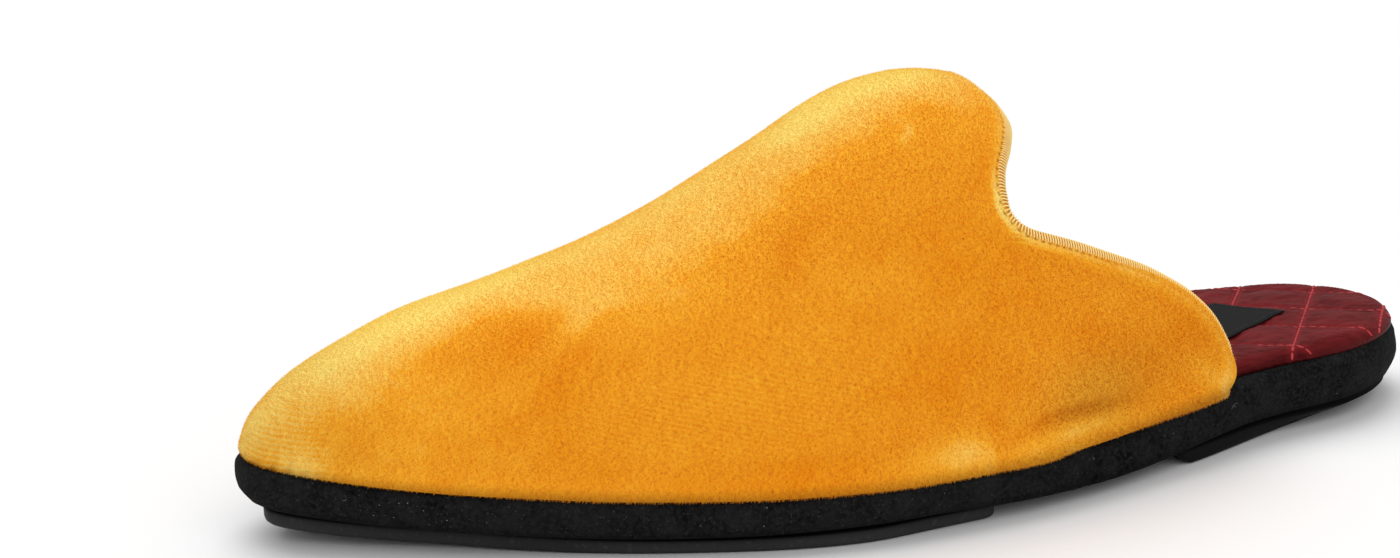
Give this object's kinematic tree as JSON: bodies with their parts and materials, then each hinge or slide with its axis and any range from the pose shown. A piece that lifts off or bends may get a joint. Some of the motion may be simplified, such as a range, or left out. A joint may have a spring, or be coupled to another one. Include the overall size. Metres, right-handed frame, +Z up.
{
  "type": "velvet mule slipper",
  "caption": "Left velvet mule slipper with a closed toe, a high rounded vamp, an open heel, a wrapped flat midsole, thin rubber outsoles and a padded quilted insole.",
  "frame": {"origin": "on the floor plane under the middle of the slipper's bounding box", "axes": "+Y from the toe to the heel, +X to the outer side of the left foot, +Z up from the floor"},
  "size_m": [0.11, 0.2925, 0.092],
  "materials": {
    "forefoot_rubber": "smooth, slightly glossy",
    "heel_rubber": "smooth, slightly glossy",
    "black_suede": "napped, matt",
    "gold_velvet": "short brushed pile",
    "burgundy_satin": "satin, quilted",
    "black_label": "woven, matt"
  },
  "bodies": {
    "root": {"outsole_forefoot": "forefoot_rubber", "outsole_heel": "heel_rubber", "midsole": "black_suede", "upper": "gold_velvet", "insole": "burgundy_satin", "label": "black_label"}
  },
  "joints": []
}
